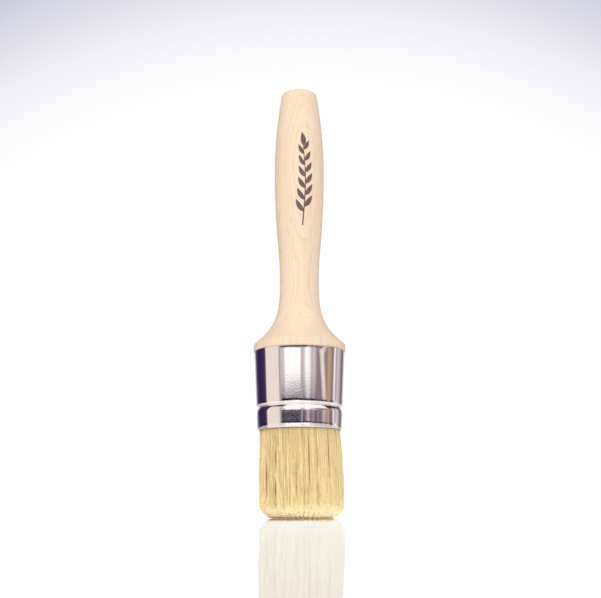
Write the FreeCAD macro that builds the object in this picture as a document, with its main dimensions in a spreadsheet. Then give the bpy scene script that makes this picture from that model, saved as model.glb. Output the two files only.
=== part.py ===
import FreeCAD, Part
import math
import os
import Sketcher

# A round brush for furniture wax and chalk paint, standing on its bristle tips.
#
# Everything is turned or drawn round one upright axis, Z, and the origin is the
# centre of the flat that the tips stand on. A turned beech handle plugs into a
# plated steel ferrule. The bristle knot is set in resin in the ferrule's foot, round
# a wooden plug, and two small pins hold the ferrule to the handle's tenon.
#
# All sizes are in millimetres. A height is measured up from the bristle tips, and a
# radius out from the axis.

SIZES = {
    # bristle knot
    "bristle_radius": 24.4,
    "tip_round": 9.2,
    "taper_height": 22.0,
    "root_height": 57.0,
    # ferrule, from its mouth up to its rim
    "wall": 0.45,
    "mouth_height": 49.9,
    "mouth_radius": 23.65,
    "lip_radius": 24.4,
    "sheet_edge_round": 0.2,
    "band_foot_height": 51.45,
    "band_foot_radius": 24.7,
    "band_top_height": 59.5,
    "band_top_radius": 25.03,
    "groove_height": 62.92,
    "groove_radius": 24.05,
    "groove_round": 0.5,
    "cone_round": 1.0,
    "cone_foot_height": 64.4,
    "cone_foot_radius": 25.29,
    "cone_top_height": 93.9,
    "cone_top_radius": 26.64,
    "rim_radius": 26.8,
    # handle, from its collar up to its end
    "collar_foot": 96.0,
    "collar_top": 100.33,
    "collar_radius": 27.23,
    "collar_edge_round": 0.7,
    "shoulder_height": 103.73,
    "shoulder_radius": 23.35,
    "flare_bend": 32.53,
    "ease_rise": 0.75,
    "ease_drop": 12.24,
    "neck_height": 136.5,
    "neck_radius": 11.73,
    "swell_height": 162.0,
    "belly_height": 210.0,
    "belly_radius": 15.2,
    "belly_upper_bend": 300.0,
    "end_edge_height": 261.2,
    "end_edge_round": 1.8,
    "overall_length": 262.0,
    # what the ferrule holds
    "fit_gap": 0.03,
    "resin_top": 74.5,
    "tenon_foot": 75.0,
    "tenon_chamfer": 1.0,
    "plug_radius": 7.0,
    "plug_foot": 44.0,
    "plug_chamfer": 1.5,
    # fixing pins
    "pin_height": 93.7,
    "pin_azimuth": 33.0,
    "pin_radius": 0.55,
    "pin_length": 8.0,
    "pin_point": 1.2,
    "pin_head_radius": 1.0,
    "pin_head_rise": 0.35,
    "pin_head_gap": 0.05,
}


class Size:
    """A number with the sheet expression that gives it, so that the two always agree."""

    def __init__(self, value, text):
        self.value = value
        self.text = text

    def joined(self, sign, other, value):
        text = other.text if isinstance(other, Size) else str(other)
        return Size(value, f"({self.text} {sign} {text})")

    def __add__(self, other):
        return self.joined("+", other, self.value + number(other))

    def __sub__(self, other):
        return self.joined("-", other, self.value - number(other))

    def __mul__(self, other):
        return self.joined("*", other, self.value * number(other))

    def __truediv__(self, other):
        return self.joined("/", other, self.value / number(other))


def number(size):
    """The plain number of a Size, or of a number."""
    return size.value if isinstance(size, Size) else float(size)


class Sheet:
    """The spreadsheet of driving dimensions. Each alias is also an attribute here."""

    def __init__(self, doc):
        cells = doc.addObject("Spreadsheet::Sheet", "Dimensions")
        for row, (alias, value) in enumerate(SIZES.items(), start=1):
            cells.set(f"A{row}", alias)
            cells.set(f"B{row}", str(value))
            cells.setAlias(f"B{row}", alias)
            setattr(self, alias, Size(value, f"Dimensions.{alias}"))
        doc.recompute()

    def cone_radius(self, height):
        """The outer radius of the ferrule's cone at a height."""
        rise = self.cone_top_height - self.cone_foot_height
        spread = self.cone_top_radius - self.cone_foot_radius
        return self.cone_foot_radius + (height - self.cone_foot_height) * spread / rise

    def band_radius(self, height):
        """The outer radius of the ferrule's lower band at a height."""
        rise = self.band_top_height - self.band_foot_height
        spread = self.band_top_radius - self.band_foot_radius
        return self.band_foot_radius + (height - self.band_foot_height) * spread / rise

    def inside(self):
        """How far the pieces that fill the ferrule stand in from its outer face."""
        return self.wall + self.fit_gap


class Outline:
    """Closed outlines on one of a body's origin planes, drawn edge by edge.

    Its x is the distance from the axis and its y the height. A coordinate given as a
    Size is bound to the sheet, a 0 lies on the sketch's own axis, and any other number
    is only where the solver starts from.
    """

    START, END, CENTRE = 1, 2, 3
    ORIGIN = (-1, 1)
    AXES = {"DistanceX": -2, "DistanceY": -1}

    def __init__(self, body, name, plane="XZ_Plane"):
        self.sketch = body.newObject("Sketcher::SketchObject", name)
        planes = [p for p in body.Origin.OriginFeatures if p.Role == plane]
        self.sketch.AttachmentSupport = [(planes[0], "")]
        self.sketch.MapMode = "FlatFace"

    def constrain(self, kind, *parts):
        return self.sketch.addConstraint(Sketcher.Constraint(kind, *parts))

    def bind(self, kind, size, *parts):
        """Adds a dimension whose value follows the sheet."""
        index = self.constrain(kind, *parts, size.value)
        self.sketch.setExpression(f"Constraints[{index}]", size.text)

    def coordinate(self, kind, size, point):
        """Fixes one coordinate of a point, measured so that it is never negative."""
        if isinstance(size, Size) and size.value < 0:
            self.bind(kind, size * -1, *point, *self.ORIGIN)
        elif isinstance(size, Size):
            self.bind(kind, size, *self.ORIGIN, *point)
        elif size == 0:
            self.constrain("PointOnObject", *point, self.AXES[kind])

    def start(self, x, y):
        """Puts the pen down where an outline starts."""
        self.first_place = (x, y)
        self.pen = FreeCAD.Vector(number(x), number(y), 0)
        self.first = None
        self.last = None

    def follow(self, begin, end, tangent, x, y):
        """Joins a new edge to the last one and fixes its far end."""
        if self.last:
            self.constrain("Tangent" if tangent else "Coincident", *self.last, *begin)
        else:
            self.first = begin
            self.coordinate("DistanceX", self.first_place[0], begin)
            self.coordinate("DistanceY", self.first_place[1], begin)
        self.coordinate("DistanceX", x, end)
        self.coordinate("DistanceY", y, end)
        self.pen = FreeCAD.Vector(number(x), number(y), 0)
        self.last = end

    def line(self, x, y, tangent=False):
        """Draws a straight edge to (x, y)."""
        target = FreeCAD.Vector(number(x), number(y), 0)
        edge = self.sketch.addGeometry(Part.LineSegment(self.pen, target), False)
        self.follow((edge, self.START), (edge, self.END), tangent, x, y)

    def arc(self, x, y, hub, tangent=False, bend=None):
        """Draws an arc to (x, y) round a hub near its real centre. bend binds its radius."""
        target = FreeCAD.Vector(number(x), number(y), 0)
        centre = FreeCAD.Vector(number(hub[0]), number(hub[1]), 0)
        out, back = self.pen - centre, target - centre
        circle = Part.Circle(centre, FreeCAD.Vector(0, 0, 1), out.Length)
        anticlockwise = out.cross(back).z > 0
        near, far = (out, back) if anticlockwise else (back, out)
        angles = math.atan2(near.y, near.x), math.atan2(far.y, far.x)
        edge = self.sketch.addGeometry(Part.ArcOfCircle(circle, *angles), False)
        ends = [(edge, self.START), (edge, self.END)]
        begin, end = ends if anticlockwise else reversed(ends)
        self.follow(begin, end, tangent, x, y)
        if bend:
            self.bind("Radius", bend, edge)
        return edge, begin, end

    def upright_at(self, edge, point):
        """Makes an arc run upright at one of its ends: its centre is level with it."""
        self.constrain("Horizontal", edge, self.CENTRE, *point)

    def close(self):
        """Draws the last straight edge, back to where the outline started."""
        target = FreeCAD.Vector(*[number(size) for size in self.first_place], 0)
        edge = self.sketch.addGeometry(Part.LineSegment(self.pen, target), False)
        self.constrain("Coincident", *self.last, edge, self.START)
        self.constrain("Coincident", edge, self.END, *self.first)

    def axis(self, reach, height):
        """Adds a level construction line at a height, for a feature to turn about."""
        begin = FreeCAD.Vector(-reach.value, height.value, 0)
        end = FreeCAD.Vector(reach.value, height.value, 0)
        edge = self.sketch.addGeometry(Part.LineSegment(begin, end), True)
        for point, x in ((self.START, reach * -1), (self.END, reach)):
            self.coordinate("DistanceX", x, (edge, point))
            self.coordinate("DistanceY", height, (edge, point))


def new_body(doc, label):
    """An empty body named after its node, such as BristleBundle for bristle_bundle."""
    body = doc.addObject("PartDesign::Body", label.title().replace("_", ""))
    body.Label = label
    body.Placement = FreeCAD.Placement()
    return body


def face_pins(body, sheet):
    """Turns a body about the axis so that its own -Y faces the fixing pins."""
    upright = FreeCAD.Vector(0, 0, 1)
    body.Placement.Rotation = FreeCAD.Rotation(upright, sheet.pin_azimuth.value)
    body.setExpression("Placement.Rotation.Angle", sheet.pin_azimuth.text)


def spin(body, kind, name, outline, axis="V_Axis"):
    """Adds a Revolution, or takes a Groove away, and checks that it changed the body."""
    before = body.Shape.Volume if kind == "Groove" else 0.0
    feature = body.newObject(f"PartDesign::{kind}", name)
    feature.Profile = outline.sketch
    feature.ReferenceAxis = (outline.sketch, [axis])
    feature.Angle = 360
    body.Document.recompute()
    if not outline.sketch.FullyConstrained:
        raise RuntimeError(f"{outline.sketch.Name} isn't fully constrained")
    if abs(body.Shape.Volume - before) < 0.1:
        raise RuntimeError(f"{name} changed nothing")


def rings_at(shape, height):
    """The names of the circular edges round the axis at a height, widest first."""
    found = []
    for index, edge in enumerate(shape.Edges, start=1):
        if edge.Degenerated or not isinstance(edge.Curve, Part.Circle):
            continue
        if abs(edge.Curve.Center.z - height.value) < 0.01:
            found.append((edge.Curve.Radius, f"Edge{index}"))
    return [name for radius, name in sorted(found, reverse=True)]


def dress(body, kind, name, size, *heights):
    """Rounds or chamfers the widest ring edge at each height."""
    base = body.Tip
    feature = body.newObject(f"PartDesign::{kind}", name)
    feature.Base = (base, [rings_at(base.Shape, height)[0] for height in heights])
    measure = "Radius" if kind == "Fillet" else "Size"
    setattr(feature, measure, size.value)
    feature.setExpression(measure, size.text)
    body.Document.recompute()


def upright_bend(upright, other):
    """The radius of an arc that runs upright at one point and passes another."""
    across = other[0] - upright[0]
    along = other[1] - upright[1]
    return (across**2 + along**2) / (2 * abs(across))


def touching_bend(upright, hub, bend):
    """The radius of an arc that runs upright at one point and touches a circle."""
    across = number(upright[0]) - number(hub[0])
    along = number(upright[1]) - number(hub[1])
    reach = number(bend)
    return (across**2 + along**2 - reach**2) / (2 * (reach + across))


def point_toward(hub, other, reach):
    """The point at a distance from one point, towards another."""
    begin = FreeCAD.Vector(number(hub[0]), number(hub[1]), 0)
    end = FreeCAD.Vector(number(other[0]), number(other[1]), 0)
    place = begin + (end - begin).normalize() * number(reach)
    return place.x, place.y


def draw_groove(outline, sheet, inset, upward):
    """Draws the rolled groove between the ferrule's cone and its lower band.

    The pen is at the band's top to go upward, and at the cone's foot to go down. inset
    moves the wall towards the axis, so that the ferrule's two faces and the resin
    inside it follow one shape. The solver finds where the three arcs meet.
    """
    cone_bend = sheet.cone_round - inset
    groove_bend = sheet.groove_round + inset
    cone_foot = (sheet.cone_foot_radius - inset, sheet.cone_foot_height)
    band_top = (sheet.band_top_radius - inset, sheet.band_top_height)
    groove_hub = (sheet.groove_radius + sheet.groove_round, sheet.groove_height)
    cone_hub = (cone_foot[0] - cone_bend, cone_foot[1])
    band_hub = (band_top[0] - touching_bend(band_top, groove_hub, groove_bend), band_top[1])
    above = point_toward(groove_hub, cone_hub, groove_bend)
    below = point_toward(groove_hub, band_hub, groove_bend)

    if upward:
        outline.arc(*below, band_hub, True)
        groove = outline.arc(*above, groove_hub, True, groove_bend)
        outline.arc(*cone_foot, cone_hub, True, cone_bend)
    else:
        outline.arc(*above, cone_hub, True, cone_bend)
        groove = outline.arc(*below, groove_hub, True, groove_bend)
        outline.arc(*band_top, band_hub, True)
    outline.bind("DistanceX", groove_hub[0], *outline.ORIGIN, groove[0], outline.CENTRE)


def draw_pin_hole(outline, sheet, side):
    """Draws half the section of a pin's hole, through the wall and into the tenon."""
    mouth = (sheet.rim_radius + sheet.pin_head_gap) * side
    bottom = (sheet.cone_radius(sheet.pin_height) - sheet.pin_length) * side
    outline.start(bottom, sheet.pin_height)
    outline.line(bottom, sheet.pin_height + sheet.pin_radius)
    outline.line(mouth, sheet.pin_height + sheet.pin_radius)
    outline.line(mouth, sheet.pin_height)
    outline.close()


def drill_pin_holes(body, sheet):
    """Drills the front and back pin holes."""
    outline = Outline(body, f"{body.Name}PinHoleSection", "YZ_Plane")
    outline.axis(sheet.collar_radius, sheet.pin_height)
    for side in (-1, 1):
        draw_pin_hole(outline, sheet, side)
    spin(body, "Groove", f"{body.Name}PinHoles", outline, "Axis0")


def make_handle(doc, sheet):
    """The turned beech handle: tenon, collar, flare, neck, belly and domed end."""
    body = new_body(doc, "handle")
    outline = Outline(body, "HandleSection")
    tenon_foot_radius = sheet.cone_radius(sheet.tenon_foot) - sheet.inside()
    tenon_root_radius = sheet.cone_radius(sheet.collar_foot) - sheet.inside()
    outline.start(0, sheet.tenon_foot)
    outline.line(tenon_foot_radius, sheet.tenon_foot)
    outline.line(tenon_root_radius, sheet.collar_foot)
    outline.line(sheet.collar_radius, sheet.collar_foot)
    outline.line(sheet.collar_radius, sheet.collar_top)
    outline.line(sheet.shoulder_radius, sheet.shoulder_height)

    # The flare carries on from the shoulder's slope and eases into the neck.
    neck = (number(sheet.neck_radius), number(sheet.neck_height))
    rise = sheet.shoulder_height - sheet.collar_top
    run = sheet.collar_radius - sheet.shoulder_radius
    slope = math.atan2(number(run), number(rise))
    flare_hub = (
        sheet.shoulder_radius + sheet.flare_bend * math.cos(slope),
        sheet.shoulder_height + sheet.flare_bend * math.sin(slope),
    )
    ease = (neck[0] + number(sheet.ease_rise), neck[1] - number(sheet.ease_drop))
    outline.arc(*ease, flare_hub, True, sheet.flare_bend)
    lower_hub = (neck[0] + upright_bend(neck, ease), neck[1])
    lower, _, lower_end = outline.arc(sheet.neck_radius, sheet.neck_height, lower_hub, True)
    outline.upright_at(lower, lower_end)

    # The neck swells into the belly, and the wood turns from hollow to full between them.
    belly = (number(sheet.belly_radius), number(sheet.belly_height))
    swell = ((neck[0] + belly[0]) / 2 - 0.5, number(sheet.swell_height))
    upper_hub = (neck[0] + upright_bend(neck, swell), neck[1])
    upper, upper_begin, _ = outline.arc(swell[0], sheet.swell_height, upper_hub)
    outline.upright_at(upper, upper_begin)
    rising_hub = (belly[0] - upright_bend(belly, swell), belly[1])
    rising, _, rising_end = outline.arc(
        sheet.belly_radius, sheet.belly_height, rising_hub, True
    )
    outline.upright_at(rising, rising_end)

    # The belly draws in to the end, which is a shallow dome.
    falling_hub = (sheet.belly_radius - sheet.belly_upper_bend, sheet.belly_height)
    drop = number(sheet.end_edge_height - sheet.belly_height)
    end_radius = number(falling_hub[0]) + math.sqrt(sheet.belly_upper_bend.value**2 - drop**2)
    falling, falling_begin, _ = outline.arc(
        end_radius, sheet.end_edge_height, falling_hub, False, sheet.belly_upper_bend
    )
    outline.upright_at(falling, falling_begin)
    crown = (0, number(sheet.overall_length))
    crown_bend = upright_bend(crown[::-1], (sheet.end_edge_height.value, end_radius))
    dome = outline.arc(0, sheet.overall_length, (0, crown[1] - crown_bend))
    outline.constrain("PointOnObject", dome[0], outline.CENTRE, outline.AXES["DistanceX"])
    outline.close()

    spin(body, "Revolution", "HandleTurning", outline)
    dress(body, "Fillet", "CollarEdges", sheet.collar_edge_round,
          sheet.collar_foot, sheet.collar_top)
    dress(body, "Fillet", "EndEdge", sheet.end_edge_round, sheet.end_edge_height)
    dress(body, "Chamfer", "TenonLeadIn", sheet.tenon_chamfer, sheet.tenon_foot)
    drill_pin_holes(body, sheet)
    face_pins(body, sheet)
    return body


def make_ferrule(doc, sheet):
    """The plated ferrule: flared rim, cone, rolled groove, lower band and curled-in lip."""
    body = new_body(doc, "ferrule")
    outline = Outline(body, "FerruleSection")
    cone_lean = math.atan2(
        number(sheet.cone_top_radius - sheet.cone_foot_radius),
        number(sheet.cone_top_height - sheet.cone_foot_height),
    )
    flare_height = number(sheet.collar_foot - sheet.cone_top_height)
    flare_run = number(sheet.rim_radius - sheet.cone_top_radius)
    rim_lean = 2 * math.atan2(flare_run, flare_height) - cone_lean
    flare_bend = flare_height / (math.sin(rim_lean) - math.sin(cone_lean))
    flare_out = flare_bend * math.cos(cone_lean)
    flare_down = flare_bend * math.sin(cone_lean)

    def flare_hub(inset):
        return (sheet.cone_top_radius - inset + flare_out, sheet.cone_top_height - flare_down)

    # down the outer face
    outline.start(sheet.rim_radius, sheet.collar_foot)
    outline.arc(sheet.cone_top_radius, sheet.cone_top_height, flare_hub(0))
    outline.line(sheet.cone_foot_radius, sheet.cone_foot_height, True)
    draw_groove(outline, sheet, 0, upward=False)
    outline.line(sheet.band_foot_radius, sheet.band_foot_height, True)
    band_foot = (sheet.band_foot_radius.value, sheet.band_foot_height.value)
    lip = (sheet.lip_radius.value, sheet.mouth_height.value)
    lip_hub = (band_foot[0] - upright_bend(band_foot, lip), band_foot[1])
    outline.arc(sheet.lip_radius, sheet.mouth_height, lip_hub, True)

    # across the mouth and up the inner face
    outline.line(sheet.mouth_radius, sheet.mouth_height)
    outline.line(sheet.band_foot_radius - sheet.wall, sheet.band_foot_height)
    outline.line(sheet.band_top_radius - sheet.wall, sheet.band_top_height)
    draw_groove(outline, sheet, sheet.wall, upward=True)
    outline.line(sheet.cone_top_radius - sheet.wall, sheet.cone_top_height, True)
    outline.arc(
        sheet.rim_radius - sheet.wall, sheet.collar_foot, flare_hub(sheet.wall), True
    )
    outline.close()

    spin(body, "Revolution", "FerruleShell", outline)
    dress(body, "Fillet", "SheetEdges", sheet.sheet_edge_round,
          sheet.mouth_height, sheet.collar_foot)
    drill_pin_holes(body, sheet)
    face_pins(body, sheet)
    return body


def make_bristle_bundle(doc, sheet):
    """The bristle knot as one plain solid: its free length and its roots in the ferrule."""
    body = new_body(doc, "bristle_bundle")
    outline = Outline(body, "BristleSection")
    flat_radius = sheet.bristle_radius - sheet.tip_round
    outline.start(0, 0)
    outline.line(flat_radius, 0)
    outline.arc(sheet.bristle_radius, sheet.tip_round, (flat_radius, sheet.tip_round),
                False, sheet.tip_round)
    outline.line(sheet.bristle_radius, sheet.taper_height)
    outline.line(sheet.mouth_radius - sheet.fit_gap, sheet.mouth_height)
    outline.line(sheet.band_foot_radius - sheet.inside(), sheet.band_foot_height)
    outline.line(sheet.band_radius(sheet.root_height) - sheet.inside(), sheet.root_height)
    outline.line(sheet.plug_radius, sheet.root_height)
    outline.line(sheet.plug_radius, sheet.plug_foot)
    outline.line(0, sheet.plug_foot)
    outline.close()
    spin(body, "Revolution", "BristleKnot", outline)
    return body


def make_epoxy_setting(doc, sheet):
    """The resin cast round the bristle roots. The ferrule's groove locks it in."""
    body = new_body(doc, "epoxy_setting")
    outline = Outline(body, "ResinSection")
    inset = sheet.inside()
    outline.start(sheet.plug_radius, sheet.root_height)
    outline.line(sheet.band_radius(sheet.root_height) - inset, sheet.root_height)
    outline.line(sheet.band_top_radius - inset, sheet.band_top_height)
    draw_groove(outline, sheet, inset, upward=True)
    outline.line(sheet.cone_radius(sheet.resin_top) - inset, sheet.resin_top, True)
    outline.line(sheet.plug_radius, sheet.resin_top)
    outline.close()
    spin(body, "Revolution", "ResinRing", outline)
    return body


def make_filler_plug(doc, sheet):
    """The wooden plug in the middle of the knot, which leaves room there for wax."""
    body = new_body(doc, "filler_plug")
    outline = Outline(body, "PlugSection")
    outline.start(0, sheet.plug_foot)
    outline.line(sheet.plug_radius, sheet.plug_foot)
    outline.line(sheet.plug_radius, sheet.resin_top)
    outline.line(0, sheet.resin_top)
    outline.close()
    spin(body, "Revolution", "PlugTurning", outline)
    dress(body, "Chamfer", "PlugLeadIn", sheet.plug_chamfer, sheet.plug_foot)
    return body


def make_fixing_pins(doc, sheet):
    """Two domed pins, opposite each other, through the ferrule and into the tenon."""
    body = new_body(doc, "fixing_pins")
    body.AllowCompound = True
    outline = Outline(body, "PinSection", "YZ_Plane")
    outline.axis(sheet.collar_radius, sheet.pin_height)
    surface = sheet.cone_radius(sheet.pin_height)
    seat = surface + sheet.pin_head_gap
    tip = surface - sheet.pin_length
    shank = sheet.pin_height + sheet.pin_radius
    head = sheet.pin_height + sheet.pin_head_radius
    crown = (seat + sheet.pin_head_rise, sheet.pin_height)
    rim = (number(head), number(seat))
    dome_bend = upright_bend((crown[1].value, crown[0].value), rim)
    for side in (-1, 1):
        outline.start(tip * side, sheet.pin_height)
        outline.line((tip + sheet.pin_point) * side, shank)
        outline.line(seat * side, shank)
        outline.line(seat * side, head)
        hub = ((crown[0] - dome_bend) * side, sheet.pin_height)
        dome, _, dome_end = outline.arc(crown[0] * side, crown[1], hub)
        outline.constrain("Horizontal", dome, outline.CENTRE, *dome_end)
        outline.close()
    spin(body, "Revolution", "PinTurning", outline, "Axis0")
    face_pins(body, sheet)
    return body


def main():
    doc = FreeCAD.newDocument("RoundBrush")
    sheet = Sheet(doc)
    makers = [make_handle, make_ferrule, make_fixing_pins, make_epoxy_setting,
              make_filler_plug, make_bristle_bundle]
    bodies = [make(doc, sheet) for make in makers]
    doc.recompute()

    failed = [o.Name for o in doc.Objects if "Invalid" in o.State or "Error" in o.State]
    for body in bodies:
        if body.Shape.isNull() or not body.Shape.isValid():
            failed.append(body.Label)
    if failed:
        raise RuntimeError("failed to build: " + ", ".join(failed))

    os.makedirs("parts", exist_ok=True)
    for body in bodies:
        body.Shape.exportStep(f"parts/{body.Label}.step")
        volume = body.Shape.Volume / 1000
        print(f"{body.Label}: {len(body.Shape.Solids)} solid(s), {volume:.2f} cm3")


main()
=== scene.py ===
"""Round wax brush: bristles, printed sprig, materials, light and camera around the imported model."""

import math

import bpy
import numpy as np
from mathutils import Matrix, Vector
from mathutils.bvhtree import BVHTree


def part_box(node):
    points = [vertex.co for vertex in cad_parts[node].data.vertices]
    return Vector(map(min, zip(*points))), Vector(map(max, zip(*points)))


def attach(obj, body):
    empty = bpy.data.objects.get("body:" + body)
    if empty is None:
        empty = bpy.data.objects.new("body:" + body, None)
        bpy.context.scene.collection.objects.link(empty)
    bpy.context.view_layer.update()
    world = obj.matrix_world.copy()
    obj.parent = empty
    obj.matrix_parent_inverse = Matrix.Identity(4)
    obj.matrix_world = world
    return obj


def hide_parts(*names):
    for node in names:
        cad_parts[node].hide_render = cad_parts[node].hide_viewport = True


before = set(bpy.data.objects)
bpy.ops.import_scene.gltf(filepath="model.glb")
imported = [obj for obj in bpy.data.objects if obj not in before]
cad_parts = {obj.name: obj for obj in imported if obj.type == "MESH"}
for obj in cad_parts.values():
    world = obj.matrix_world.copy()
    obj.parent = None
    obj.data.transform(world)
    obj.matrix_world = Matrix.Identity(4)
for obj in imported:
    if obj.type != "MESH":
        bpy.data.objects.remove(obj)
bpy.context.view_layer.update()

MM = 0.001
TAU = 2 * math.pi

# ---------------------------------------------------------------- places taken from the frame

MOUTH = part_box("ferrule")[0].z / MM             # height where the bristles leave the ferrule, mm
KNOT_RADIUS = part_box("bristle_bundle")[1].x / MM    # the solid knot at its widest, mm


# ---------------------------------------------------------------- shader graphs

class Graph:
    """Builds a node tree with short calls. A value that is a socket is linked; any other is set."""

    def __init__(self, tree):
        self.tree = tree
        tree.nodes.clear()

    def put(self, socket, value):
        if isinstance(value, bpy.types.NodeSocket):
            self.tree.links.new(value, socket)
        else:
            socket.default_value = value

    def node(self, kind, inputs=None, **settings):
        made = self.tree.nodes.new("ShaderNode" + kind)
        for key, value in settings.items():
            setattr(made, key, value)
        for key, value in (inputs or {}).items():
            self.put(made.inputs[key], value)
        return made

    def math(self, operation, a, b=0.0):
        return self.node("Math", {0: a, 1: b}, operation=operation).outputs[0]

    def plus(self, a, b):
        return self.math("ADD", a, b)

    def minus(self, a, b):
        return self.math("SUBTRACT", a, b)

    def times(self, a, b):
        return self.math("MULTIPLY", a, b)

    def length(self, a, b):
        """The long side of a right triangle with these short sides."""
        return self.math("SQRT", self.plus(self.times(a, a), self.times(b, b)))

    def vector(self, x, y, z):
        return self.node("CombineXYZ", {"X": x, "Y": y, "Z": z}).outputs[0]

    def stretched(self, x, y, z, scales):
        """A vector whose parts are each multiplied by a scale."""
        return self.vector(*(self.times(part, scale) for part, scale in zip((x, y, z), scales)))

    def split(self, vector):
        return self.node("SeparateXYZ", {"Vector": vector}).outputs

    def noise(self, vector, scale, detail=2.0, roughness=0.5):
        inputs = {"Vector": vector, "Scale": scale, "Detail": detail, "Roughness": roughness}
        return self.node("TexNoise", inputs).outputs["Fac"]

    def rescale(self, value, low, high, to_low=0.0, to_high=1.0, smooth=False):
        inputs = {"Value": value, "From Min": low, "From Max": high, "To Min": to_low, "To Max": to_high}
        kind = "SMOOTHSTEP" if smooth else "LINEAR"
        return self.node("MapRange", inputs, interpolation_type=kind).outputs["Result"]

    def ramp(self, value, stops):
        made = self.node("ValToRGB", {"Fac": value})
        band = made.color_ramp
        while len(band.elements) < len(stops):
            band.elements.new(0.5)
        for element, (place, colour) in zip(band.elements, stops):
            element.position = place
            element.color = (*colour, 1.0)
        return made.outputs["Color"]

    def mix(self, factor, a, b, blend="MIX"):
        made = self.node("Mix", data_type="RGBA", blend_type=blend)
        self.put(made.inputs["Factor"], factor)
        for name, value in (("A", a), ("B", b)):
            socket = next(s for s in made.inputs if s.name == name and s.type == "RGBA")
            self.put(socket, value if isinstance(value, bpy.types.NodeSocket) else (*value, 1.0))
        return next(s for s in made.outputs if s.type == "RGBA")

    def attribute(self, name):
        return self.node("Attribute", attribute_name=name).outputs["Fac"]

    def object_mm(self):
        """The point on the object in millimetres."""
        place = self.node("TexCoord").outputs["Object"]
        inputs = {0: place, "Scale": 1 / MM}
        return self.node("VectorMath", inputs, operation="SCALE").outputs[0]

    def bump(self, height, distance, strength=1.0):
        inputs = {"Height": height, "Distance": distance, "Strength": strength}
        return self.node("Bump", inputs).outputs["Normal"]

    def surface(self, **sockets):
        names = {key.replace("_", " ").title(): value for key, value in sockets.items()}
        shader = self.node("BsdfPrincipled", names)
        self.finish("OutputMaterial", shader)

    def blend(self, factor, first, second):
        """A shader between two shaders."""
        return self.node("MixShader", {0: factor, 1: first.outputs[0], 2: second.outputs[0]})

    def finish(self, kind, shader):
        out = self.node(kind)
        self.tree.links.new(shader.outputs[0], out.inputs["Surface"])


def new_material(name):
    material = bpy.data.materials.new(name)
    material.use_nodes = True
    return material, Graph(material.node_tree)


def dress(piece, material):
    """Gives a shown object this one material, on its own slots."""
    piece.data.materials.clear()
    piece.data.materials.append(material)


def show(name, mesh):
    """Puts a mesh in the scene as an object of the same name."""
    piece = bpy.data.objects.new(name, mesh)
    bpy.context.scene.collection.objects.link(piece)
    return piece


# ---------------------------------------------------------------- materials

PITH_AZIMUTH = math.radians(13)     # the growth rings face this way, to the right of the front
PITH_DISTANCE = 70.0                # from the brush's axis to the middle of the tree, mm
RING_PITCH = 1.25                   # between growth rings, mm
RING_SHIFT = 0.62                   # share of a ring, so that one closes on the neck
RING_WANDER = 1.3                   # how far the rings stray from circles, mm
LATE_START, LATE_END = 0.45, 0.93   # the latewood darkens between these shares of a ring
PORE_BROWN = (0.6, 0.36, 0.2)

# How fast each feature of the wood changes per mm: along the ring, across the rings and up the trunk.
BREAK_GRAIN = (0.9, 0.9, 0.07)
FLECK_GRAIN = (2.3, 0.14, 0.42)
BIG_FLECK_GRAIN = (1.0, 0.1, 0.22)
PORE_GRAIN = (7.0, 7.0, 0.25)
WANDER_GRAIN = (0.16, 0.035, 1.0)   # along the ring, up the trunk, and a fixed slice of the noise
BROAD_GRAIN = (0.12, 0.12, 0.018)   # sideways, in depth and up


def ring_place(g, x, y):
    """Distance from the pith, and arc round it, in mm."""
    side, back = math.sin(PITH_AZIMUTH), math.cos(PITH_AZIMUTH)
    toward = g.minus(g.times(x, side), g.times(y, back))
    across = g.plus(g.times(x, back), g.times(y, side))
    depth = g.plus(toward, PITH_DISTANCE)
    arc = g.times(g.math("ARCTAN2", across, depth), PITH_DISTANCE)
    return g.length(depth, across), arc


def growth_rings(g, distance, arc, z):
    """How strongly the dark line of a ring shows, and a shade for each year."""
    slice_of_noise = 3.0
    wander = g.noise(g.stretched(arc, z, slice_of_noise, WANDER_GRAIN), 1.0, 2.0)
    shift = g.times(g.minus(wander, 0.5), RING_WANDER)
    rings = g.math("DIVIDE", g.plus(distance, shift), RING_PITCH)
    phase = g.math("FRACT", g.plus(rings, RING_SHIFT))
    latewood = g.rescale(phase, LATE_START, LATE_END, smooth=True)
    edge = g.rescale(phase, LATE_END, 1.0, 1.0, 0.0, smooth=True)
    breaks = g.noise(g.stretched(arc, distance, z, BREAK_GRAIN), 1.0, 3.0)
    broken = g.rescale(breaks, 0.36, 0.62, 0.12, 1.0)
    year = g.noise(g.vector(g.math("FLOOR", rings), 0.5, 0.5), 0.7, 0.0)
    return g.times(g.times(latewood, edge), broken), year


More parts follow.
